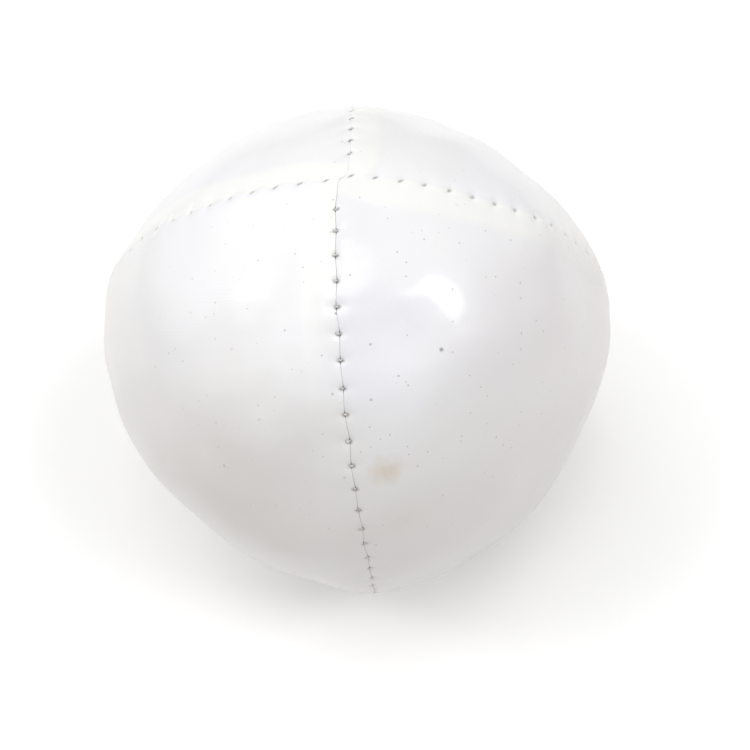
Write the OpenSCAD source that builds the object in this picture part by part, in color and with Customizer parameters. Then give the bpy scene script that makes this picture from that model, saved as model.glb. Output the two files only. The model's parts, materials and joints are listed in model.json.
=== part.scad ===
// Juggling ball: a beanbag ball of four leatherette panels around a seed filling.
//
// Four identical panels, each a quarter of the ball, meet at a top and a bottom junction.
// Every panel has one folded edge and one tucked edge. The folded edge turns under itself
// and lies over the neighbour's tucked edge, so both seam allowances point the same way.
// The threads of the lockstitch lie in the groove between the two edges.
// The ball rests on the bottom junction, and the origin is the middle of that flat patch.
//
// Angles: polar angle 0 is the top pole and 180 the bottom pole. Azimuth 0 is +X.
// The seams are at azimuths -90 (front), 0 (right), 90 (back) and 180 (left).

/* [Ball] */
// Width across two opposite seams
ball_w = 64; // [56:1:76]
// Height from pole to pole before the ball settles
ball_h = 58.5; // [52:0.5:76]
// How far the ball's weight flattens its underside
rest_sag = 1.2; // [0.6:0.1:2]
// How far the middle of a panel lies inside a round ball, as a share of the radius
panel_flatness = 0.036; // [0:0.002:0.08]

/* [Leatherette] */
// Thickness of the leatherette
skin_t = 0.8; // [0.6:0.05:0.9]
// Width of the seam allowance that is turned to the inside
allowance = 4; // [3:0.25:5]

/* [Stitching] */
// Length of one machine stitch
stitch_l = 2.6; // [2:0.1:4]
// Diameter of one thread
thread_d = 0.2; // [0.15:0.01:0.22]
// Length of one hand stitch on the closed filling gap
hand_stitch_l = 2.2; // [1.8:0.1:3]
// Polar angle at which the filling gap begins, on the right seam
gap_start = 112; // [100:1:125]
// Polar angle at which the filling gap ends
gap_end = 162; // [150:1:168]

/* [Hidden] */

// Azimuths of the four seams
front = -90;
right = 0;
back = 90;
left = 180;

// Height of the ball's centre above the surface that it rests on
centre_z = ball_h / 2 - rest_sag;
// The hole left at each pole where the four tips meet
pole_hole_r = 0.6;

// Folded edge: a gap inside the fold, and how far the fold stays from the seam plane
fold_slit = 0.1;
fold_r = skin_t + fold_slit / 2;
fold_back = 0.12;
// Tucked edge: where it starts to dive, where it is level again, and how deep it lies, with a
// gap between the two allowances
tuck_start = 1.8;
tuck_end = fold_back + fold_r;
allowance_gap = 0.12;
tuck_depth = 2 * fold_r + allowance_gap;
// Width that a panel needs for full-size edges. Narrower rows have narrower edges
edge_room = 4.2;
// Part of that width which the allowance leaves free
flap_clear = 3;
// Clearance between the skin and the filling: below the skin, beside a tucked edge, beside a
// folded allowance and beside the end of a tucked allowance
filling_gap = 0.2;
tuck_side_gap = 0.3;
fold_side_gap = 0.5;
flap_end_gap = 0.15;
// Where a panel is narrower than this, the allowances cover it and the filling stays low. It
// swells up to the skin over the next stretch of the same length
covered_width = 6;

// Middle of the seam groove, from the seam plane and from the outer surface
groove_side = 0.16;
groove_depth = 0.74;
// The groove leans this far to the folded edge for each millimetre of depth
groove_lean = 0.5;
// How far the two machine threads move apart between their crossings
thread_sway = 0.09;
// How far the hand stitches reach to each side
hand_sway = 0.12;
// Radius and half length of the cuts that let the threads cross each junction
crossing_r = 0.45;
crossing_half = 2.9;
// Polar angle over which the main threads change sides at a junction
crossing_polar = 5;
// Polar angle at which the front and back threads end, short of the main seam
thread_end = 2.6;

// Rows from pole to pole, and columns across the middle of a panel and of the filling
rows = 32;
panel_columns = 7;
filling_columns = 3;
// How much closer together the rows are at the poles, from 0 to 1
row_easing = 0.55;
thread_sides = 4;

skin_colour = [0.94, 0.94, 0.95];
thread_colour = [0.86, 0.85, 0.83];
seed_colour = [0.85, 0.73, 0.45];

// ---- Shape of the ball ----

// Distance from the centre to a seam
function seam_radius(polar) =
    1 / sqrt(pow(sin(polar) / (ball_w / 2), 2) + pow(cos(polar) / (ball_h / 2), 2));

// Distance from the centre to the outer surface. Panels are flatter between the seams
function ball_radius(polar, azimuth) =
    seam_radius(polar) * (1 - panel_flatness * sin(polar) * abs(sin(2 * azimuth)));

// A point at a depth below the outer surface. The underside is flat where the ball rests
function ball_point(polar, azimuth, depth) =
    let (r = ball_radius(polar, azimuth) - depth)
    [r * sin(polar) * cos(azimuth), r * sin(polar) * sin(azimuth),
        max(centre_z + r * cos(polar), depth)];

// Distance from the polar axis to the seams
function axis_distance(polar) = seam_radius(polar) * sin(polar);

// Turns a distance along the surface, square to a seam, into degrees of azimuth
function across(distance, polar) = distance / axis_distance(polar) * 180 / PI;

// Width of a panel at a polar angle
function panel_width(polar) = axis_distance(polar) * PI / 2;

// Edges and allowances shrink where the panel narrows towards its tips
function edge_scale(polar) = min(1, panel_width(polar) / edge_room);
function flap_width(polar) =
    min(allowance, panel_width(polar) - flap_clear * edge_scale(polar));

// Polar angle nearest the poles that the panels and the filling reach
first_polar = asin(pole_hole_r / (ball_h / 2));

// Rows are closer together near the tips
function row_polar(row) =
    let (t = row / rows, eased = t - row_easing * sin(360 * t) / (2 * PI))
    first_polar + (180 - 2 * first_polar) * eased;

// ---- Closed solids from rings of points ----

// Joins rings of equal length into one solid. The ends are closed by ladders across the
// ring, so a ring is a chain of points followed by as many points back along its other side
module lofted(rings) {
    sides = len(rings[0]);
    last = (len(rings) - 1) * sides;
    walls = [for (i = [0 : sides : last - 1], j = [0 : sides - 1])
        let (k = (j + 1) % sides) each
        [[i + j, i + k, i + k + sides], [i + j, i + k + sides, i + j + sides]]];
    caps = [for (j = [0 : sides / 2 - 2])
        let (k = sides - 1 - j) each
        [[k, j + 1, j], [k, k - 1, j + 1], [last + k, last + j, last + j + 1],
            [last + k, last + j + 1, last + k - 1]]];
    polyhedron(points = [for (ring = rings) each ring], faces = concat(walls, caps));
}

// ---- Panels ----

// A station of the sheet is [side distance, depth of the face side, depth of the back side]
tucked_edge = [for (turn = [180 : -45 : 0])
    let (dive = tuck_depth * (1 - cos(turn)) / 2)
    [tuck_start - (tuck_start + tuck_end) * turn / 180, dive, dive + skin_t]];

// The fold is an arc on the face side and the rounded end of the slit on the back side
folded_edge = [for (turn = [0 : 45 : 180])
    [[fold_r * sin(turn) - tuck_end, fold_r - fold_r * cos(turn)],
        [fold_slit / 2 * (sin(turn) - 1) - tuck_end, fold_r - fold_slit / 2 * cos(turn)]]];

// One cross-section of a panel: the face side from flap to flap, then back along the back side
function panel_ring(polar) =
    let (
        scale = edge_scale(polar),
        flap = across(flap_width(polar), polar),
        tuck = [for (station = tucked_edge) [across(station[0] * scale, polar), station[1]]],
        from = across(tuck_start * scale, polar),
        to = 90 - across(tuck_end * scale, polar),
        middle = [for (i = [1 : panel_columns]) from + (to - from) * i / (panel_columns + 1)],
        face = [
            [-flap, tuck_depth],
            each tuck,
            each [for (azimuth = middle) [azimuth, 0]],
            each [for (station = folded_edge)
                [90 + across(station[0][0] * scale, polar), station[0][1]]],
            [90 - flap, 2 * fold_r]
        ],
        behind = [
            [-flap, tuck_depth + skin_t],
            each [for (station = tuck) [station[0], station[1] + skin_t]],
            each [for (azimuth = middle) [azimuth, skin_t]],
            each [for (station = folded_edge)
                [90 + across(station[1][0] * scale, polar), station[1][1]]],
            [90 - flap, 2 * fold_r - skin_t]
        ]
    )
    [each [for (p = face) ball_point(polar, p[0], p[1])],
        each [for (i = [len(behind) - 1 : -1 : 0]) ball_point(polar, behind[i][0], behind[i][1])]];

// Room for the seam threads where they cross a junction
module junction_cuts() {
    for (z = [groove_depth, centre_z + ball_h / 2 - groove_depth], turn = [0, 90])
        translate([0, 0, z])
            rotate([0, 90, turn])
                cylinder(r = crossing_r, h = 2 * crossing_half, center = true, $fn = 8);
}

// A panel between the seam at azimuth start, where it is tucked, and the next, where it is folded
module panel(start) {
    color(skin_colour)
        difference() {
            rotate([0, 0, start])
                lofted([for (row = [0 : rows]) panel_ring(row_polar(row))]);
            junction_cuts();
        }
}

module panel_front_left() { panel(left); }
module panel_front_right() { panel(front); }
module panel_back_right() { panel(right); }
module panel_back_left() { panel(back); }

// ---- Threads ----

// One ring of a thread. The azimuth turns the seam plane, and a polar angle past a pole
// carries on down the other side of the ball
function thread_ring(azimuth, polar, side, depth) =
    let (sideways = [-sin(azimuth), cos(azimuth), 0])
    [for (i = [0 : thread_sides - 1])
        let (turn = 360 * (i + 0.5) / thread_sides)
        ball_point(polar, azimuth, depth + thread_d / 2 * sin(turn))
            + sideways * (side + thread_d / 2 * cos(turn))];

// Number of rings, two to a stitch, between two polar angles
function ring_count(from, to, stitch) =
    2 * round((to - from) * PI / 180 * (ball_w + ball_h) / 4 / stitch);

// The needle thread lies above the bobbin thread, and the two meet once a stitch
module machine_thread(azimuth, from, to, level) {
    count = ring_count(from, to, stitch_l);
    color(thread_colour)
        lofted([for (k = [0 : count])
            let (
                polar = from + (to - from) * k / count,
                offset = level * (thread_d / 2 + thread_sway * (k % 2)),
                // The folded edge changes sides of the seam plane where a seam crosses a pole
                flip = max(-1, min(1, sin(polar) / sin(crossing_polar)))
            )
            thread_ring(azimuth, polar, flip * (groove_side - groove_lean * offset),
                groove_depth + offset)]);
}

module front_seam_needle_thread() { machine_thread(front, thread_end, 180 - thread_end, -1); }
module front_seam_bobbin_thread() { machine_thread(front, thread_end, 180 - thread_end, 1); }
module back_seam_needle_thread() { machine_thread(back, thread_end, 180 - thread_end, -1); }
module back_seam_bobbin_thread() { machine_thread(back, thread_end, 180 - thread_end, 1); }

// The main seam goes right round, from one end of the filling gap to the other
module main_seam_needle_thread() { machine_thread(right, gap_end - 360, gap_start, -1); }
module main_seam_bobbin_thread() { machine_thread(right, gap_end - 360, gap_start, 1); }

// The hand stitches cross from edge to edge of the gap that the filling went in through
module closing_thread() {
    count = ring_count(gap_start, gap_end, hand_stitch_l) - 2;
    color(thread_colour)
        lofted([for (k = [1 : count - 1])
            thread_ring(right, gap_start + (gap_end - gap_start) * k / count,
                groove_side + hand_sway * (2 * (k % 2) - 1), groove_depth)]);
}

// ---- Filling ----

// The filling swells up to the skin and sinks under the seam allowances
function filling_ring(polar) =
    let (
        scale = edge_scale(polar),
        flap = flap_width(polar),
        under = tuck_depth + skin_t + filling_gap,
        swell = max(0, min(1, panel_width(polar) / covered_width - 1)),
        shallow = under + (skin_t + filling_gap - under) * swell,
        from = across((tuck_start + tuck_side_gap) * scale, polar),
        to = 90 - across(flap + fold_side_gap * scale, polar),
        stations = [
            [-across(flap + flap_end_gap * scale, polar), under],
            each [for (station = [for (i = [0 : len(tucked_edge) - 2]) tucked_edge[i]])
                [across(station[0] * scale, polar), max(shallow, station[2] + filling_gap)]],
            each [for (i = [0 : filling_columns + 1])
                [from + (to - from) * i / (filling_columns + 1), shallow]]
        ]
    )
    [for (turn = [0 : 90 : 270], station = stations)
        ball_point(polar, station[0] + turn, station[1])];

module seed_filling() {
    color(seed_colour)
        lofted([for (row = [0 : rows]) filling_ring(row_polar(row))]);
}

panel_front_left();
panel_front_right();
panel_back_right();
panel_back_left();
front_seam_needle_thread();
front_seam_bobbin_thread();
back_seam_needle_thread();
back_seam_bobbin_thread();
main_seam_needle_thread();
main_seam_bobbin_thread();
closing_thread();
seed_filling();
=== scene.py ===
import json
import math

import bpy
import numpy as np
from mathutils import Matrix, Vector, kdtree


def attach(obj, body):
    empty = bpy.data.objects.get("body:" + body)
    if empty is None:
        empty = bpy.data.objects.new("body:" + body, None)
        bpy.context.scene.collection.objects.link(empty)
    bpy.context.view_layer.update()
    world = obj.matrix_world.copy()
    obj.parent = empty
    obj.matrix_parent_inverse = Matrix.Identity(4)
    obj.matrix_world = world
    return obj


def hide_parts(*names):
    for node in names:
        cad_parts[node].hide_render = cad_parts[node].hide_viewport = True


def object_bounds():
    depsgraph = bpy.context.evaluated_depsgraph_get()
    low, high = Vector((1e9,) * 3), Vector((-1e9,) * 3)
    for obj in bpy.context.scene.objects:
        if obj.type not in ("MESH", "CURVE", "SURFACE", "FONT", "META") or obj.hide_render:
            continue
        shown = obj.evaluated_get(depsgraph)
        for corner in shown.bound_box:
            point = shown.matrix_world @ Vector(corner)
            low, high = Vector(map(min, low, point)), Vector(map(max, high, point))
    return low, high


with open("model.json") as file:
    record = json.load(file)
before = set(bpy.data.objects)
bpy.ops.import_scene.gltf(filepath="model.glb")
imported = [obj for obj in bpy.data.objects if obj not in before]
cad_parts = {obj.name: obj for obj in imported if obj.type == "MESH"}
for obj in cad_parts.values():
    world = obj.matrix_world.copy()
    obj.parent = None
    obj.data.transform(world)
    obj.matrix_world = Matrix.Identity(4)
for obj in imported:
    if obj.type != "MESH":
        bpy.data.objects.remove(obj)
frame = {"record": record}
cad_box = [list(corner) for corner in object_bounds()]

# A beanbag juggling ball: four leatherette panels, their stitching and a seed filling.
# Lengths are in millimetres until a mesh is made. Angles are in degrees in the named values
# and in radians inside functions. Polar angle 0 is the top junction of the panels.
MM = 0.001
RANDOM_SEED = 4

# ---- Size of the ball, from the frame ----
BALL_W = (cad_box[1][0] - cad_box[0][0]) / MM + 0.2
REST_SAG = 1.2
BALL_H = (cad_box[1][2] - cad_box[0][2]) / MM + REST_SAG
CENTRE_Z = BALL_H / 2 - REST_SAG
PANEL_FLATNESS = 0.036
# The filling has settled unevenly: azimuth, polar angle, spread and height of each soft bulge
BULGES = [
    (-135, 70, 30, 1.5),
    (-140, 118, 28, -3.0),
    (-45, 75, 30, -1.0),
    (-40, 118, 28, 1.5),
    (-90, 125, 25, 1.5),
    (180, 75, 22, 0.5),
    (0, 80, 22, 1.0),
    (90, 60, 25, -1.0),
    (60, 105, 30, 0.5),
    (125, 110, 28, -0.5),
]
# How far each seam, named by its azimuth, bends sideways between the junctions: one bow,
# two bows and three bows
SEAM_BENDS = {
    -90: (1.5, -0.5, -0.5),
    0: (2.5, -0.6, -1.0),
    90: (0.0, 0.0, -0.25),
    180: (0.0, -0.5, 0.4),
}
# The front and back seams were sewn out of line, and their ends sit this far either side of
# the middle. The main seam's left end sits a little nearer the front than its right end
JUNCTION_SLIP = 0.5
MAIN_SLIP = 0.6
SLIP_REACH = 15
SLIP_TURN = 0.5
# How softly the underside rounds into the flat patch that it rests on
REST_SOFTNESS = 0.12

# ---- Leatherette ----
SKIN_T = 0.8
ALLOWANCE = 4.0
STRIP_W = 3.4
FOLD_DEPTH = 1.7
TUCK_DEPTH = 1.84
EDGE_ROOM = 4.2
FLAP_CLEAR = 3.0
# Radius of the turn under a tucked edge, and the slit inside a folded one
TUCK_TURN = 0.3
FOLD_SLIT = 0.1
# The edges are pressed tight between stitches and rounder where a stitch pulls them in
CORNER_TIGHT = 0.05
FOLD_CORNER = 0.14
TUCK_CORNER = 0.16
# Half of the gap between the edges at a stitch, and how far it opens along the seam
GAP_STITCH = 0.035
HOLE_LENGTH = 0.25
# How far along a seam its gap opens towards the junctions
JUNCTION_REACH = 2.0
EDGE_WANDER = 0.06

# ---- Relief beside the seams ----
VALLEY_DEPTH = 0.06
VALLEY_WIDTH = 0.9
DIMPLE_DEPTH = 0.12
DIMPLE_LENGTH = 0.40
DIMPLE_WIDTH = 0.60
# Each needle hole, on each side of the seam at every stitch, gets painted shade as a small dark
# mark. Away from the top the holes close up, their painted shade fades, and the thread lies this
# much deeper
HOLE_R = 0.16
HOLE_SHUT = 0.6
SHUT_SINK = 0.15
SHUT_OVER = math.radians(25)
# Painted shade inside a seam begins at this share of the skin's depth and darkens up to a limit
SEAM_SHADE_START = 0.2
SEAM_SHADE_MOST = 0.5
PUCKER_HEIGHT = 0.03
PUCKER_REACH = 1.5
STRIP_HEIGHT = 0.08
STRIP_SOFTNESS = 1.3

# ---- Unevenness of the panels: wavelength and height ----
SOFT_WAVES = (11.0, 0.10)
SEED_WAVES = (2.6, 0.006)

# ---- Stitching ----
STITCH = 2.6
STITCH_JITTER = 0.12
HAND_STITCH = 2.2
THREAD_R = 0.11
# Distance of the first stitch from the top junction along each seam
FIRST_FRONT = 4.0
FIRST_BACK = 4.0
FIRST_MAIN = 0.8
END_MARGIN = 1.5
GAP_START = 112
GAP_END = 162

# ---- Mesh resolution ----
PANEL_ROWS = 470
MIDDLE_COLUMNS = 44
EDGE_COLUMNS = 12
EDGE_BAND = 5.0
TIP_POLAR = math.radians(0.4)


# ==== Shape of the ball ====

def smooth_step(value):
    clipped = np.clip(value, 0, 1)
    return clipped * clipped * (3 - 2 * clipped)


def direction(polar, azimuth):
    """Unit vectors for arrays of polar angles and azimuths."""
    sin_polar = np.sin(polar)
    parts = [sin_polar * np.cos(azimuth), sin_polar * np.sin(azimuth), np.cos(polar)]
    return np.stack(np.broadcast_arrays(*parts), axis=-1)


def seam_bend(seam_azimuth, polar):
    """Angle that a seam has bent to one side, in radians of azimuth."""
    sideways = 0
    for bow, size in enumerate(SEAM_BENDS[seam_azimuth], start=1):
        sideways = sideways + size * np.sin(bow * polar)
    return sideways / (np.maximum(np.sin(polar), 0.02) * BALL_W / 2)


def straightened(polar, azimuth):
    """Azimuth with the seams' bends taken out, so that seams lie at whole quarter turns."""
    bend = 0
    for seam_azimuth in SEAM_BENDS:
        away = np.mod(azimuth - math.radians(seam_azimuth) + math.pi, 2 * math.pi) - math.pi
        share = np.where(np.abs(away) < math.pi / 2, np.cos(away) ** 2, 0)
        bend = bend + share * seam_bend(seam_azimuth, polar)
    return azimuth - bend


def ball_radius(polar, azimuth):
    """Distance from the centre to the skin, before stitching pulls it in."""
    half_w = BALL_W / 2
    half_h = BALL_H / 2
    seam = 1 / np.sqrt((np.sin(polar) / half_w) ** 2 + (np.cos(polar) / half_h) ** 2)
    flatter = np.sin(polar) * np.abs(np.sin(2 * straightened(polar, azimuth)))
    radius = seam * (1 - PANEL_FLATNESS * flatter)
    away = direction(polar, azimuth)
    for bulge_azimuth, bulge_polar, spread, height in BULGES:
        centre = direction(math.radians(bulge_polar), math.radians(bulge_azimuth))
        angle = np.arccos(np.clip(away @ centre, -1, 1))
        radius = radius + height * np.exp(-(angle / math.radians(spread)) ** 2)
    return radius


def settle(points, depth):
    """Moves points up to the ball's height and flattens the underside on the surface."""
    settled = points.copy()
    above = (settled[..., 2] + CENTRE_Z - depth) / REST_SOFTNESS
    settled[..., 2] = depth + REST_SOFTNESS * np.logaddexp(0, above)
    return settled


def slip(points):
    """Moves the seams' ends out of line near the junctions."""
    shifted = points.copy()
    near = np.exp(-(np.hypot(points[..., 0], points[..., 1]) / SLIP_REACH) ** 2)
    shifted[..., 0] += JUNCTION_SLIP * near * np.tanh(points[..., 1] / SLIP_TURN)
    shifted[..., 1] += MAIN_SLIP / 2 * near * np.tanh(points[..., 0] / SLIP_TURN)
    return shifted


WAVE_COUNT = 28


def waves(points, wavelength, height, seed):
    """Smooth random unevenness: a sum of plane waves in random directions."""
    random = np.random.default_rng(RANDOM_SEED + seed)
    total = np.zeros(points.shape[:-1])
    for _ in range(WAVE_COUNT):
        heading = random.normal(size=3)
        heading /= np.linalg.norm(heading)
        length = wavelength * random.uniform(0.7, 1.5)
        total += np.sin(points @ heading * 2 * math.pi / length + random.uniform(0, 2 * math.pi))
    return total * height / math.sqrt(WAVE_COUNT / 2)


# ==== Seams ====

class Seam:
    """One seam from the top junction to the bottom one, with its stitches.

    gap is half of the gap between the edges, less than 0 where they press into each other,
    and junction_gap is added at the junctions. The painted shade of the needle holes lies
    hole_aside from the seam line, and the threads lie thread_sink deeper than in the stitch
    shapes below. The holes close up past the polar angle shut_from, where their painted shade
    fades. strip_height is how far the folded side stands up.
    """

    def __init__(self, azimuth, stitches, hand_stitches=(), gap=-0.03, junction_gap=0,
                 hole_aside=0.06, thread_sink=0.2, shut_from=180, strip_height=STRIP_HEIGHT):
        self.azimuth = azimuth
        self.shut_from = math.radians(shut_from)
        self.gap = gap
        self.junction_gap = junction_gap
        self.hole_aside = hole_aside
        self.thread_sink = thread_sink
        self.strip_height = strip_height
        self.polar = np.linspace(0, math.pi, 721)
        around = self.azimuth_at(self.polar)
        path = ball_radius(self.polar, around)[:, None] * direction(self.polar, around)
        steps = np.linalg.norm(np.diff(path, axis=0), axis=1)
        self.along = np.concatenate([[0], np.cumsum(steps)])
        self.length = self.along[-1]
        self.stitches = self.jittered(stitches(self))
        self.hand_stitches = self.jittered(hand_stitches(self)) if hand_stitches else np.array([])
        self.all_stitches = np.sort(np.concatenate([self.stitches, self.hand_stitches]))

    def jittered(self, places):
        """Real stitches are never quite evenly spaced."""
        random = np.random.default_rng(RANDOM_SEED + self.azimuth % 360)
        return np.asarray(places) + random.uniform(-0.5, 0.5, len(places)) * STITCH_JITTER

    def azimuth_at(self, polar):
        """Azimuth of the seam, in radians."""
        return math.radians(self.azimuth) + seam_bend(self.azimuth, polar)

    def place(self, polar):
        """Distance along the seam at a polar angle."""
        return np.interp(polar, self.polar, self.along)

    def polar_at(self, along):
        """Polar angle at a distance along the seam."""
        return np.interp(along, self.along, self.polar)

    def pull(self, along, width=DIMPLE_LENGTH):
        """1 at a stitch, falling to 0 between stitches."""
        nearest = np.min(np.abs(np.asarray(along)[..., None] - self.all_stitches), axis=-1)
        return np.exp(-(nearest / width) ** 2)

    def shut(self, along):
        """0 where the needle holes are open, rising to 1 where they have closed up."""
        return smooth_step((self.polar_at(along) - self.shut_from) / SHUT_OVER)

    def from_ends(self, along):
        """Distance to the nearer junction."""
        return np.minimum(along, self.length - along)

    def half_gap(self, along):
        """Half of the gap between the two edges."""
        opening = self.junction_gap * np.exp(-(self.from_ends(along) / JUNCTION_REACH) ** 2)
        return self.gap + GAP_STITCH * self.pull(along, HOLE_LENGTH) + opening

    def corner(self, along, widest):
        """Radius of an edge's rounded corner."""
        return CORNER_TIGHT + (widest - CORNER_TIGHT) * self.pull(along, DIMPLE_LENGTH)

    def wander(self, along):
        """The seam line bows a little from side to side between stitches."""
        return EDGE_WANDER * (np.sin(along * math.pi / STITCH) + 0.6 * np.sin(along * 0.71 + 1))


def front_stitches(seam):
    return np.arange(FIRST_FRONT, seam.length - END_MARGIN, STITCH)


def back_stitches(seam):
    return np.arange(FIRST_BACK, seam.length - END_MARGIN, STITCH)


def left_stitches(seam):
    return np.arange(STITCH - FIRST_MAIN, seam.length - END_MARGIN, STITCH)


def right_stitches(seam):
    places = np.arange(FIRST_MAIN, seam.length - END_MARGIN, STITCH)
    start, end = seam.place(np.radians([GAP_START, GAP_END]))
    return places[(places < start) | (places > end)]


def gap_stitches(seam):
    start, end = seam.place(np.radians([GAP_START, GAP_END]))
    return np.arange(start + HAND_STITCH / 2, end - HAND_STITCH / 2, HAND_STITCH)


seams = {
    "front": Seam(-90, front_stitches, gap=0.0, junction_gap=0.03, hole_aside=0.16,
                  thread_sink=0, shut_from=62),
    "right": Seam(0, right_stitches, gap_stitches, shut_from=34),
    "back": Seam(90, back_stitches, gap=-0.005, junction_gap=0.03, hole_aside=0.12),
    "left": Seam(180, left_stitches, gap=-0.05, shut_from=8, strip_height=0.02),
}


# ==== Panels ====

def seam_relief(seam, along, distance, folded):
    """Height of the skin beside a seam. The folded side lies over both allowances."""
    valley = VALLEY_DEPTH * np.exp(-(distance / VALLEY_WIDTH) ** 2)
    dimple = DIMPLE_DEPTH * seam.pull(along) * np.exp(-(distance / DIMPLE_WIDTH) ** 2)
    pucker = PUCKER_HEIGHT * (1 - 2 * seam.pull(along, 0.8)) * np.exp(-distance / PUCKER_REACH)
    strip = 0
    if folded:
        strip = seam.strip_height * smooth_step((STRIP_W - distance) / STRIP_SOFTNESS + 0.5)
    return strip + pucker - valley - dimple


def hole_shade(seam, along, distance):
    """Painted shade of the needle holes: most in the middle of a hole, falling to 0 around it."""
    opening = 1 - HOLE_SHUT * seam.shut(along)
    aside = np.exp(-((distance - seam.hole_aside) / HOLE_R) ** 2)
    return seam.pull(along, HOLE_R) * aside * opening


def arc(start, end, count):
    return np.radians(np.linspace(start, end, count))


def panel_stations(rows, tuck_seam, fold_seam, tuck_along, fold_along, width):
    """Stations across a panel, each [distance from its seam, depth, on the folded side]."""
    scale = np.minimum(1, width / EDGE_ROOM)
    flap = np.minimum(ALLOWANCE, width - FLAP_CLEAR * scale)
    band = np.minimum(EDGE_BAND, width * 0.45)
    tuck_gap = (tuck_seam.half_gap(tuck_along) + tuck_seam.wander(tuck_along)) * scale
    fold_gap = (fold_seam.half_gap(fold_along) - fold_seam.wander(fold_along)) * scale
    tuck_corner = tuck_seam.corner(tuck_along, TUCK_CORNER) * scale
    fold_corner = fold_seam.corner(fold_along, FOLD_CORNER) * scale
    still = np.ones(rows)
    face = []
    # Tucked edge: the end of the allowance, the turn up, the wall and the rounded corner
    face.append((-flap, TUCK_DEPTH * still, False))
    face.append((-flap * 0.5, TUCK_DEPTH * still, False))
    for angle in arc(0, 90, 4):
        face.append((tuck_gap - TUCK_TURN * scale * (1 - np.sin(angle)),
                     (TUCK_DEPTH - TUCK_TURN * (1 - np.cos(angle))) * still, False))
    for angle in arc(90, 0, 7):
        face.append((tuck_gap + tuck_corner * (1 - np.sin(angle)),
                     tuck_corner * (1 - np.cos(angle)), False))
    # Open skin beside the tucked edge, then the middle, then beside the folded edge
    near = tuck_gap + tuck_corner
    for step in np.linspace(0, 1, EDGE_COLUMNS + 1)[1:]:
        face.append((near + (band - near) * step ** 1.5, 0 * still, False))
    far = fold_gap + fold_corner
    for step in np.linspace(0, 1, MIDDLE_COLUMNS + 2)[1:-1]:
        face.append((step, None, None))
    for step in np.linspace(1, 0, EDGE_COLUMNS + 1)[:-1]:
        face.append((far + (band - far) * step ** 1.5, 0 * still, True))
    # Folded edge: the rounded corner, the wall, the lower corner and the allowance
    for angle in arc(0, 90, 7):
        face.append((fold_gap + fold_corner * (1 - np.sin(angle)),
                     fold_corner * (1 - np.cos(angle)), True))
    for angle in arc(90, 0, 4):
        face.append((fold_gap + fold_corner * (1 - np.sin(angle)),
                     FOLD_DEPTH - fold_corner * (1 - np.cos(angle)), True))
    face.append((flap * 0.5, FOLD_DEPTH * still, True))
    face.append((flap, FOLD_DEPTH * still, True))
    behind = []
    # Back side, from the folded allowance round the slit and across to the tucked allowance
    behind.append((flap, (FOLD_DEPTH - SKIN_T) * still, True))
    behind.append((flap * 0.6, (FOLD_DEPTH - SKIN_T) * still, True))
    behind.append((fold_gap + SKIN_T * scale, (FOLD_DEPTH - SKIN_T) * still, True))
    behind.append((fold_gap + SKIN_T * scale, (FOLD_DEPTH - SKIN_T - FOLD_SLIT) * still, True))
    behind.append((flap * 0.6, SKIN_T * still, True))
    behind.append((band, SKIN_T * still, True))
    for step in np.linspace(1, 0, 14)[1:-1]:
        behind.append((step, None, None))
    behind.append((band, SKIN_T * still, False))
    behind.append((tuck_gap + tuck_corner + SKIN_T * scale, SKIN_T * still, False))
    behind.append((tuck_gap + SKIN_T * scale, (SKIN_T + 0.35) * still, False))
    behind.append((tuck_gap + (SKIN_T - 0.05) * scale, TUCK_DEPTH * still, False))
    behind.append((tuck_gap + TUCK_TURN * scale, (TUCK_DEPTH + SKIN_T) * still, False))
    behind.append((-flap, (TUCK_DEPTH + SKIN_T) * still, False))
    return face, behind, band, flap


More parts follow.
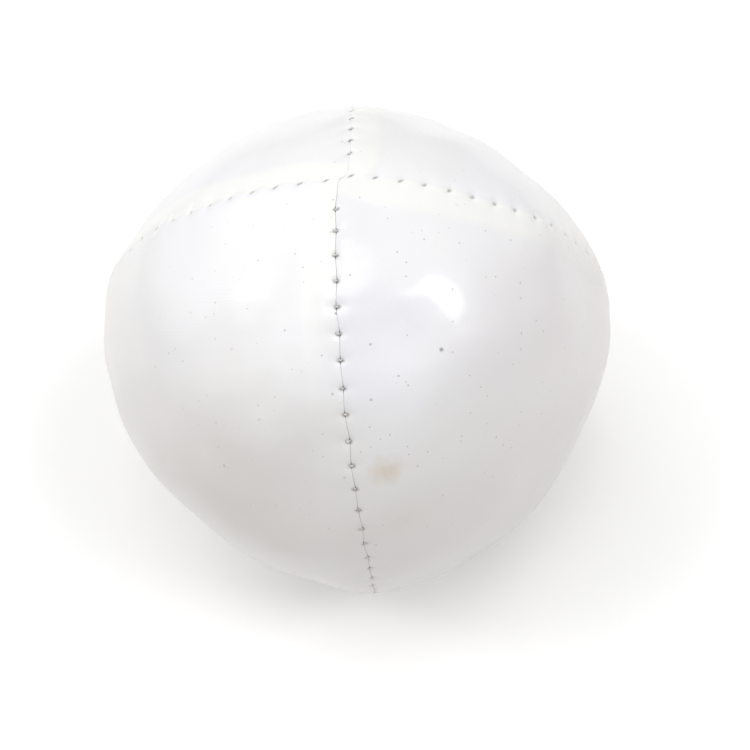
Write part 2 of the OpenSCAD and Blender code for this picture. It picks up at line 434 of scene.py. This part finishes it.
def build_panel(name, tuck_seam, fold_seam):
    """A closed sheet between two seams, tucked at the first and folded over at the second."""
    polar = np.linspace(TIP_POLAR, math.pi - TIP_POLAR, PANEL_ROWS)
    start = tuck_seam.azimuth_at(polar)
    span = np.mod(fold_seam.azimuth_at(polar) - start, 2 * math.pi)
    tuck_axis = ball_radius(polar, start) * np.sin(polar)
    fold_axis = ball_radius(polar, start + span) * np.sin(polar)
    width = np.minimum(tuck_axis, fold_axis) * span
    tuck_along = tuck_seam.place(polar)
    fold_along = fold_seam.place(polar)
    face, behind, band, flap = panel_stations(
        len(polar), tuck_seam, fold_seam, tuck_along, fold_along, width)
    band_start = band / tuck_axis
    band_end = span - band / fold_axis
    points = []
    painted_seam_shade = []
    tint = []
    across = []
    for group, sheet_depth in ((face, 0.0), (behind, SKIN_T)):
        for distance, depth, on_fold in group:
            if on_fold is None:
                azimuth = band_start + (band_end - band_start) * distance
                depth = sheet_depth * np.ones(len(polar))
            elif on_fold:
                azimuth = span - distance / fold_axis
            else:
                azimuth = distance / tuck_axis
            from_tuck = np.maximum(azimuth, 0) * tuck_axis
            from_fold = np.maximum(span - azimuth, 0) * fold_axis
            radius = ball_radius(polar, start + azimuth)
            radius = radius + seam_relief(tuck_seam, tuck_along, from_tuck, False)
            radius = radius + seam_relief(fold_seam, fold_along, from_fold, True)
            away = direction(polar, start + azimuth)
            spot = away * radius[:, None]
            soft = waves(spot, *SOFT_WAVES, seed=1) + waves(spot, *SEED_WAVES, seed=2)
            points.append(settle(slip(away * (radius + soft - depth)[:, None]), depth))
            holes = hole_shade(tuck_seam, tuck_along, from_tuck) + hole_shade(
                fold_seam, fold_along, from_fold)
            # Painted shade: darker the deeper the skin lies inside a seam, and darker in the needle
            # holes
            painted_seam_shade.append(np.clip(depth / SKIN_T - SEAM_SHADE_START, 0, SEAM_SHADE_MOST) + holes)
            tint.append(smooth_step((STRIP_W - from_fold) / STRIP_SOFTNESS + 0.5))
            across.append((azimuth - span / 2) * tuck_axis)
    grid = np.stack(points, axis=1)
    piece = ring_mesh(name, grid, ends=True)
    add_attribute(piece, "painted_seam_shade", np.stack(painted_seam_shade, axis=1))
    add_attribute(piece, "allowance", np.stack(tint, axis=1))
    add_attribute(piece, "cloth_across", np.stack(across, axis=1))
    add_attribute(piece, "cloth_along", np.repeat(tuck_along[:, None], grid.shape[1], axis=1))
    return piece


def ring_mesh(name, grid, ends):
    """A mesh from rows of closed rings, with each end drawn to a point."""
    rows, columns = grid.shape[:2]
    index = np.arange(rows * columns).reshape(rows, columns)
    nearby = np.roll(index, -1, axis=1)
    quads = np.stack([index[:-1], index[1:], nearby[1:], nearby[:-1]], axis=-1).reshape(-1, 4)
    vertices = grid.reshape(-1, 3)
    faces = quads.tolist()
    if ends:
        first = len(vertices)
        tips = [grid[0].mean(axis=0), grid[-1].mean(axis=0)]
        vertices = np.concatenate([vertices, tips])
        faces += [[first, a, b] for a, b in zip(index[0], nearby[0])]
        faces += [[first + 1, b, a] for a, b in zip(index[-1], nearby[-1])]
    mesh = bpy.data.meshes.new(name)
    mesh.from_pydata((vertices * MM).tolist(), [], faces)
    mesh.update()
    mesh.polygons.foreach_set("use_smooth", [True] * len(mesh.polygons))
    piece = bpy.data.objects.new(name, mesh)
    bpy.context.scene.collection.objects.link(piece)
    return piece


def add_attribute(piece, name, values):
    """Stores one number for each vertex; the drawn-in tips take the last value."""
    flat = np.asarray(values, dtype=np.float32).reshape(-1)
    padded = np.full(len(piece.data.vertices), flat[-1], dtype=np.float32)
    padded[:len(flat)] = flat
    layer = piece.data.attributes.new(name, "FLOAT", "POINT")
    layer.data.foreach_set("value", padded)


# ==== Threads ====

def seam_point(seam, along, sideways, depth):
    """Points along a seam, sideways from it towards the tucked side, and below the skin."""
    polar = seam.polar_at(along)
    azimuth = seam.azimuth_at(polar)
    radius = ball_radius(polar, azimuth) - depth
    square = np.stack([-np.sin(azimuth), np.cos(azimuth), np.zeros(len(azimuth))], axis=-1)
    # Close to a junction the sideways step fades, so that a thread can cross it
    fade = np.tanh(seam.from_ends(along) / 0.8)
    points = radius[:, None] * direction(polar, azimuth) + square * (sideways * fade)[:, None]
    return settle(slip(points), depth)


def rounded_path(points, steps):
    """A smooth curve through a list of points, with several steps between each pair."""
    before = np.concatenate([points[:1], points[:-1]])
    after = np.concatenate([points[1:], points[-1:]])
    beyond = np.concatenate([points[2:], points[-1:], points[-1:]])
    parts = []
    for t in np.linspace(0, 1, steps, endpoint=False):
        parts.append(0.5 * (2 * points + (after - before) * t
                            + (2 * before - 5 * points + 4 * after - beyond) * t ** 2
                            + (3 * points - before - 3 * after + beyond) * t ** 3))
    return np.stack(parts, axis=1).reshape(-1, 3)[:-steps + 1]


def build_tube(name, path, radius, sides=8):
    """A round thread along a path of points, closed at both ends."""
    heading = np.gradient(path, axis=0)
    heading /= np.linalg.norm(heading, axis=1)[:, None]
    outward = path - np.array([0, 0, CENTRE_Z])
    across = np.cross(heading, outward)
    across /= np.linalg.norm(across, axis=1)[:, None]
    up = np.cross(across, heading)
    rings = []
    for angle in np.linspace(0, 2 * math.pi, sides, endpoint=False):
        rings.append(path + radius * (math.cos(angle) * across + math.sin(angle) * up))
    return ring_mesh(name, np.stack(rings, axis=1), ends=True)


# One machine stitch, as [distance along, sideways, depth]. The thread runs behind its own
# edge between stitches, comes through its needle hole and locks with the other thread
NEEDLE_STITCH = [(-0.45, -0.98, 0.85), (-0.05, -0.22, 0.28), (-0.02, -0.07, 0.07),
                 (0.02, 0.08, 0.10), (0.10, -0.25, 0.62), (0.45, -0.98, 0.85)]
BOBBIN_STITCH = [(-0.45, 1.05, 1.35), (-0.10, 0.30, 0.60), (0.00, 0.10, 0.20),
                 (0.04, -0.04, 0.24), (0.14, 0.32, 0.70), (0.45, 1.05, 1.35)]


def stitch_run(seam, places, template):
    """The path of a machine thread through stitches at several places on a seam."""
    along = []
    sideways = []
    depth = []
    for place in places:
        for ahead, across, below in template:
            along.append(max(place + ahead, 0.05))
            sideways.append(across)
            depth.append(below + seam.thread_sink + SHUT_SINK * seam.shut(place))
    return seam_point(seam, np.array(along), np.array(sideways), np.array(depth))


def machine_threads(name, runs):
    """The needle thread and the bobbin thread of one seam; runs are joined end to end."""
    for thread, template in (("needle", NEEDLE_STITCH), ("bobbin", BOBBIN_STITCH)):
        mirrored = [(-ahead, across, below) for ahead, across, below in template]
        parts = []
        for seam, places, backwards in runs:
            order = np.sort(places)[::-1] if backwards else np.sort(places)
            parts.append(stitch_run(seam, order, mirrored if backwards else template))
        path = rounded_path(np.concatenate(parts), 3)
        build_tube(f"{name}_{thread}_thread_piece", path, THREAD_R)


def closing_thread():
    """Hand stitches that step across the filling gap and back inside the edges."""
    seam = seams["right"]
    along = []
    sideways = []
    depth = []
    for number, place in enumerate(seam.hand_stitches):
        hand = 1 if number % 2 else -1
        for ahead, across, below in ((-0.5, -0.9, 0.9), (-0.12, -0.32, 0.56), (0.12, 0.32, 0.56),
                                     (0.5, 0.9, 0.9)):
            along.append(place + ahead)
            sideways.append(across * hand)
            depth.append(below)
    path = seam_point(seam, np.array(along), np.array(sideways), np.array(depth))
    build_tube("closing_thread_piece", rounded_path(path, 4), THREAD_R * 1.3)


# ==== Filling ====

SEED_R = 1.05
SEED_COUNT = 4200
FILLING_ROWS = 190
FILLING_COLUMNS = 380


def seed_filling():
    """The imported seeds, seen as a closed surface of round grains just inside the skin."""
    polar = np.linspace(TIP_POLAR, math.pi - TIP_POLAR, FILLING_ROWS)[:, None]
    azimuth = np.linspace(0, 2 * math.pi, FILLING_COLUMNS, endpoint=False)[None, :]
    radius = ball_radius(polar, azimuth)
    from_axis = radius * np.sin(polar)
    # Distance past the last seam, and to the next one, around the ball
    past_angle = np.mod(straightened(polar, azimuth), math.pi / 2)
    past = past_angle * from_axis
    to_next = (math.pi / 2 - past_angle) * from_axis
    under_tuck = smooth_step((2.6 - past) / 1.2)
    under_flap = smooth_step((ALLOWANCE + 1.2 - to_next) / 1.0)
    skin = SKIN_T + 0.45
    depth = skin + (TUCK_DEPTH + SKIN_T + 0.35 - skin) * np.maximum(under_tuck, under_flap)
    away = direction(polar, azimuth)
    # Seeds spread evenly over a sphere by the golden angle
    number = np.arange(SEED_COUNT) + 0.5
    seed_polar = np.arccos(1 - 2 * number / SEED_COUNT)
    seed_azimuth = number * math.pi * (3 - math.sqrt(5))
    random = np.random.default_rng(RANDOM_SEED + 9)
    mean_r = (BALL_W + BALL_H) / 4
    grains = direction(seed_polar, seed_azimuth) * mean_r
    grains += random.normal(scale=0.25, size=grains.shape)
    tree = kdtree.KDTree(SEED_COUNT)
    for i, grain in enumerate(grains):
        tree.insert(grain, i)
    tree.balance()
    flat = away.reshape(-1, 3) * mean_r
    nearest = np.array([tree.find(spot)[2] for spot in flat]).reshape(radius.shape)
    grain_height = np.sqrt(np.maximum(SEED_R ** 2 - np.minimum(nearest, SEED_R * 0.98) ** 2, 0))
    points = away * (radius - depth - SEED_R + grain_height)[..., None]
    return ring_mesh("seed_filling_piece", settle(points, depth), ends=True)


# ==== Making the pieces ====

PANELS = [
    ("panel_front_left", "left", "front"),
    ("panel_front_right", "front", "right"),
    ("panel_back_right", "right", "back"),
    ("panel_back_left", "back", "left"),
]
for panel_name, tucked_at, folded_at in PANELS:
    build_panel(panel_name + "_piece", seams[tucked_at], seams[folded_at])

machine_threads("front_seam", [(seams["front"], seams["front"].stitches, False)])
machine_threads("back_seam", [(seams["back"], seams["back"].stitches, False)])
gap_end_along = seams["right"].place(math.radians(GAP_END))
machine_threads("main_seam", [
    (seams["right"], seams["right"].stitches[seams["right"].stitches > gap_end_along], False),
    (seams["left"], seams["left"].stitches, True),
    (seams["right"], seams["right"].stitches[seams["right"].stitches < gap_end_along], False),
])
closing_thread()
seed_filling()

for part in frame["record"]["subparts"]:
    piece = bpy.data.objects[part["node"] + "_piece"]
    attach(piece, "root")
    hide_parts(part["node"])


# ==== Materials ====

class Nodes:
    """Short names for building a material's nodes."""

    def __init__(self, name):
        self.material = bpy.data.materials.new(name)
        self.material.use_nodes = True
        self.tree = self.material.node_tree
        self.shader = self.tree.nodes["Principled BSDF"]

    def add(self, kind, inputs=None, **settings):
        node = self.tree.nodes.new("ShaderNode" + kind)
        for key, value in settings.items():
            setattr(node, key, value)
        for key, value in (inputs or {}).items():
            if isinstance(value, bpy.types.NodeSocket):
                self.tree.links.new(value, node.inputs[key])
            else:
                node.inputs[key].default_value = value
        return node

    def link(self, source, target):
        self.tree.links.new(source, self.shader.inputs[target])

    def place(self):
        """Position on the object, in millimetres."""
        coordinates = self.add("TexCoord")
        return self.add("VectorMath", {0: coordinates.outputs["Object"], 3: 1 / MM},
                        operation="SCALE").outputs[0]

    def noise(self, place, size, detail=2.0, roughness=0.5):
        return self.add("TexNoise", {"Vector": place, "Scale": 1 / size, "Detail": detail,
                                     "Roughness": roughness}).outputs["Fac"]

    def patch(self, place, middle, reach):
        """1 in the middle of a patch with an uneven outline, falling to 0 at its reach."""
        uneven = self.add("TexNoise", {"Vector": place, "Scale": 2 / reach}).outputs["Color"]
        shifted = self.add("VectorMath", {0: uneven, 1: (reach, reach, reach), 2: place},
                           operation="MULTIPLY_ADD").outputs[0]
        off = self.add("VectorMath", {0: shifted, 1: [value + reach / 2 for value in middle]},
                       operation="DISTANCE").outputs["Value"]
        return self.ramp(off, reach, 0)

    def ramp(self, value, low, high, to_low=0.0, to_high=1.0):
        return self.add("MapRange", {"Value": value, "From Min": low, "From Max": high,
                                     "To Min": to_low, "To Max": to_high}).outputs["Result"]

    def mix(self, factor, first, second):
        node = self.add("Mix", data_type="RGBA")
        for socket, value in ((node.inputs[0], factor), (node.inputs[6], first),
                              (node.inputs[7], second)):
            if isinstance(value, bpy.types.NodeSocket):
                self.tree.links.new(value, socket)
            else:
                socket.default_value = value
        return node.outputs[2]

    def maths(self, operation, first, second):
        node = self.add("Math", operation=operation)
        for socket, value in zip(node.inputs, (first, second)):
            if isinstance(value, bpy.types.NodeSocket):
                self.tree.links.new(value, socket)
            else:
                socket.default_value = value
        return node.outputs[0]

    def attribute(self, name):
        return self.add("Attribute", attribute_name=name).outputs["Fac"]

    def bump(self, height, distance, strength, normal=None):
        inputs = {"Height": height, "Distance": distance * MM, "Strength": strength}
        if normal is not None:
            inputs["Normal"] = normal
        return self.add("Bump", inputs).outputs["Normal"]


WHITE = (0.76, 0.76, 0.76, 1)
LAVENDER = (0.73, 0.725, 0.77, 1)
# Pinkish tint, also darkened as painted shade on the right side
PINK_AND_SHADE = (0.70, 0.67, 0.68, 1)
CREAM = (0.785, 0.785, 0.765, 1)
# Dark grey for the dust grains and the large speck, and for the painted shade in the seams and
# needle holes
GRIME_AND_SHADE = (0.16, 0.14, 0.125, 1)
STAIN = (0.55, 0.44, 0.28, 1)
# Painted shade greys the lower half, darker towards the bottom
LOWER_SHADE = (0.665, 0.645, 0.63, 1)
LOWER_SHADE_FROM_Z = 52
LOWER_SHADE_TO_Z = 38
CREAM_FROM_Z = 42
CREAM_TO_Z = 54
# Painted shade, a little brown, on the front left and left
BROWN_SHADE = (0.60, 0.575, 0.55, 1)
# Uneven patches on the skin: middle, reach, colour and strength. The pink patch is partly painted
# shade, and the brown ones are painted shade
MARKS = [
    ((4, -17, 52), 11, LAVENDER, 1.0),
    ((22, -12, 44), 16, PINK_AND_SHADE, 1.0),
    ((-13, -25, 41), 17, BROWN_SHADE, 0.8),
    ((-24, -12, 42), 22, BROWN_SHADE, 0.1),
    ((4, -26, 44), 2.0, STAIN, 0.55),
    ((5.5, -29, 38), 3.5, STAIN, 0.1),
    ((9.5, -16.5, 50.5), 0.3, GRIME_AND_SHADE, 1.0),
]
# Where the skin is dustiest, and how far that reaches
DUST_MIDDLE = (5, -17, 51)
DUST_REACH = 26
# Layers of dust: size of a cell, share of the cells that hold no grain, radius of the largest
# grain as a share of the cell, and darkness
DUST = [
    (0.9, 0.30, 0.15, 0.55),
    (3.0, 0.5, 0.07, 0.85),
]
WEAVE_SIZE = 0.36


def leatherette():
    """Smooth white vinyl on a woven backing, a little dusty, with painted shade towards the bottom,
    on some patches and in the seams.
    """
    n = Nodes("white_leatherette")
    place = n.place()
    height = n.add("SeparateXYZ", {0: place}).outputs["Z"]
    colour = n.mix(n.ramp(n.noise(place, 24), 0.42, 0.62, 0, 0.4), WHITE, LAVENDER)
    creamy = n.maths("MULTIPLY", n.attribute("allowance"),
                     n.ramp(height, CREAM_FROM_Z, CREAM_TO_Z, 0.1, 1.0))
    colour = n.mix(creamy, colour, CREAM)
    # Painted shade, greying the skin towards the bottom
    colour = n.mix(n.ramp(height, LOWER_SHADE_FROM_Z, LOWER_SHADE_TO_Z), colour, LOWER_SHADE)
    for middle, reach, patch_colour, strength in MARKS:
        colour = n.mix(n.ramp(n.patch(place, middle, reach), 0, 1, 0, strength), colour,
                       patch_colour)
    # Dust: grains in some of the cells, fine and common, then larger and rare
    dustiness = n.ramp(n.patch(place, DUST_MIDDLE, DUST_REACH), 0, 1, 0.15, 1.0)
    for cell_size, rarity, widest, strength in DUST:
        cells = n.add("TexVoronoi", {"Vector": place, "Scale": 1 / cell_size})
        chance = n.add("SeparateColor", {"Color": cells.outputs["Color"]}).outputs[0]
        radius = n.ramp(chance, rarity, 1.0, 0, widest)
        speck = n.maths("LESS_THAN", cells.outputs["Distance"], radius)
        dusty = n.maths("MULTIPLY", dustiness, strength)
        colour = n.mix(n.maths("MULTIPLY", speck, dusty), colour, GRIME_AND_SHADE)
    # Painted shade in the seams and needle holes
    colour = n.mix(n.attribute("painted_seam_shade"), colour, GRIME_AND_SHADE)
    n.link(colour, "Base Color")
    n.link(n.ramp(n.noise(place, 6.0, 3.0), 0.0, 1.0, 0.28, 0.46), "Roughness")
    n.shader.inputs["Specular IOR Level"].default_value = 0.38
    n.shader.inputs["Coat Weight"].default_value = 0.35
    n.shader.inputs["Coat Roughness"].default_value = 0.12
    # The backing's weave prints through as fine crossed ridges, more in some places
    cloth = n.add("CombineXYZ", {"X": n.attribute("cloth_across"), "Y": n.attribute("cloth_along")})
    ridges = []
    for angle in (38, 128):
        turned = n.add("Mapping", {"Vector": cloth.outputs[0],
                                   "Rotation": (0, 0, math.radians(angle))})
        # A wave texture repeats every fifth of pi at scale 1
        wave = n.add("TexWave", {"Vector": turned.outputs[0], "Scale": math.pi / 10 / WEAVE_SIZE,
                                 "Distortion": 0.8, "Detail": 1.0, "Detail Scale": 0.5})
        ridges.append(wave.outputs["Fac"])
    weave = n.maths("MULTIPLY", n.maths("ADD", ridges[0], ridges[1]),
                    n.ramp(n.noise(place, 7.0), 0.35, 0.65, 0.2, 1.0))
    fine = n.bump(weave, 0.004, 1.0)
    n.link(n.bump(n.noise(place, 1.3, 3.0, 0.6), 0.02, 1.0, fine), "Normal")
    return n.material


def thread_material(name, colour, shade):
    """Twisted polyester sewing thread."""
    n = Nodes(name)
    place = n.place()
    n.link(n.mix(n.noise(place, 0.5, 3.0), colour, shade), "Base Color")
    n.link(n.ramp(n.noise(place, 0.3), 0.3, 0.7, 0.5, 0.75), "Roughness")
    twist = n.add("TexWave", {"Vector": place, "Scale": 2.2, "Distortion": 2.0},
                  bands_direction="DIAGONAL").outputs["Fac"]
    n.link(n.bump(twist, 0.04, 0.6), "Normal")
    return n.material


def seed_material():
    """Hulled millet: every grain a slightly different gold."""
    n = Nodes("millet_seeds")
    place = n.place()
    cells = n.add("TexVoronoi", {"Vector": place, "Scale": 0.55})
    shade = n.add("SeparateColor", {"Color": cells.outputs["Color"]}).outputs[0]
    n.link(n.mix(shade, (0.72, 0.5, 0.2, 1), (0.86, 0.70, 0.38, 1)), "Base Color")
    n.link(n.ramp(n.noise(place, 0.6), 0.3, 0.7, 0.4, 0.6), "Roughness")
    n.link(n.bump(n.noise(place, 0.25, 3.0), 0.05, 0.4), "Normal")
    return n.material


materials = {
    "leatherette_panels": leatherette(),
    "needle_thread": thread_material("needle_thread", (0.66, 0.65, 0.62, 1), (0.5, 0.49, 0.46, 1)),
    "bobbin_thread": thread_material("bobbin_thread", (0.5, 0.49, 0.47, 1), (0.36, 0.35, 0.33, 1)),
    "seeds": seed_material(),
}
for part in frame["record"]["subparts"]:
    bpy.data.objects[part["node"] + "_piece"].data.materials.append(materials[part["material_slot"]])


# ==== Camera, floor and light ====

# Half of the floor's side, in metres
FLOOR_HALF = 20
CAMERA_DISTANCE = 100
CAMERA_AZIMUTH = 5.2
CAMERA_ELEVATION = 55.5
CAMERA_AIM = (2.3, -5.35, CENTRE_Z)
CAMERA_ROLL = -3.5
FIELD_OF_VIEW = 53.5


def make_camera():
    azimuth = math.radians(CAMERA_AZIMUTH - 90)
    elevation = math.radians(CAMERA_ELEVATION)
    place = Vector((
        CAMERA_DISTANCE * math.cos(elevation) * math.cos(azimuth),
        CAMERA_DISTANCE * math.cos(elevation) * math.sin(azimuth),
        CAMERA_DISTANCE * math.sin(elevation) + CENTRE_Z,
    ))
    turn = (Vector(CAMERA_AIM) - place).to_track_quat("-Z", "Y").to_matrix().to_4x4()
    data = bpy.data.cameras.new("camera")
    data.angle = math.radians(FIELD_OF_VIEW)
    data.clip_start = 0.001
    camera = bpy.data.objects.new("camera", data)
    camera.matrix_world = (Matrix.Translation(place * MM) @ turn
                           @ Matrix.Rotation(math.radians(CAMERA_ROLL), 4, "Z"))
    bpy.context.scene.collection.objects.link(camera)
    bpy.context.scene.camera = camera


def make_floor():
    half = FLOOR_HALF
    mesh = bpy.data.meshes.new("floor")
    mesh.from_pydata([(-half, -half, 0), (half, -half, 0), (half, half, 0), (-half, half, 0)],
                     [], [(0, 1, 2, 3)])
    floor = bpy.data.objects.new("floor", mesh)
    bpy.context.scene.collection.objects.link(floor)
    n = Nodes("white_paper")
    n.link(n.mix(n.noise(n.place(), 40.0), (0.90, 0.897, 0.893, 1), (0.89, 0.887, 0.883, 1)),
           "Base Color")
    n.shader.inputs["Roughness"].default_value = 0.8
    mesh.materials.append(n.material)


# Soft lights: azimuth, elevation, distance, size and brightness of each
LIGHTS = {
    "left_window": (180, 52, 1000, 180, 10.5),
    "right_window": (-11, 52, 1000, 320, 8.0),
    "back_window": (135, 45, 1000, 400, 0.9),
    "ceiling": (90, 88, 1000, 500, 3.4),
}
# Brightness of the room towards each side, as axis, sign and strength. It is strongest half way up
ROOM_SIDES = {"left": (0, -1, 3.2), "right": (0, 1, 1.7), "back": (1, 1, 0.5)}
# Brightness of the room all round, and of the plain white backdrop past the floor's edge
ROOM_GLOW = 0.05
BACKDROP = 1.0


def make_light(name, azimuth, elevation, distance, size, brightness):
    """A soft square light that faces the ball's centre."""
    around = math.radians(azimuth)
    up = math.radians(elevation)
    towards = Vector((math.cos(up) * math.cos(around), math.cos(up) * math.sin(around),
                      math.sin(up)))
    data = bpy.data.lights.new(name, "AREA")
    data.size = size * MM
    data.energy = brightness * math.pi * data.size ** 2
    light = bpy.data.objects.new(name, data)
    centre = Vector((0, 0, CENTRE_Z * MM))
    light.matrix_world = (Matrix.Translation(centre + towards * distance * MM)
                          @ towards.to_track_quat("Z", "Y").to_matrix().to_4x4())
    bpy.context.scene.collection.objects.link(light)


def make_world():
    """Soft light from both sides and from behind the ball, fading towards the floor."""
    world = bpy.data.worlds.new("soft_studio")
    world.use_nodes = True
    tree = world.node_tree

    def maths(operation, first, second):
        node = tree.nodes.new("ShaderNodeMath")
        node.operation = operation
        for socket, value in zip(node.inputs, (first, second)):
            if isinstance(value, bpy.types.NodeSocket):
                tree.links.new(value, socket)
            else:
                socket.default_value = value
        return node.outputs[0]

    heading = tree.nodes.new("ShaderNodeSeparateXYZ")
    tree.links.new(tree.nodes.new("ShaderNodeTexCoord").outputs["Generated"], heading.inputs[0])
    height = maths("MAXIMUM", heading.outputs["Z"], 0)
    total = ROOM_GLOW
    for axis, sign, brightness in ROOM_SIDES.values():
        side = maths("MAXIMUM", maths("MULTIPLY", heading.outputs[axis], sign * brightness), 0)
        total = maths("ADD", maths("MULTIPLY", height, side), total)
    # The backdrop is only looked at, and lights nothing
    looked_at = tree.nodes.new("ShaderNodeLightPath").outputs["Is Camera Ray"]
    total = maths("MAXIMUM", total, maths("MULTIPLY", looked_at, BACKDROP))
    background = tree.nodes["Background"]
    background.inputs["Color"].default_value = (1, 1, 1, 1)
    tree.links.new(total, background.inputs["Strength"])
    bpy.context.scene.world = world


make_camera()
make_floor()
make_world()
for light_name, settings in LIGHTS.items():
    make_light(light_name, *settings)
bpy.context.scene.view_settings.view_transform = "Standard"
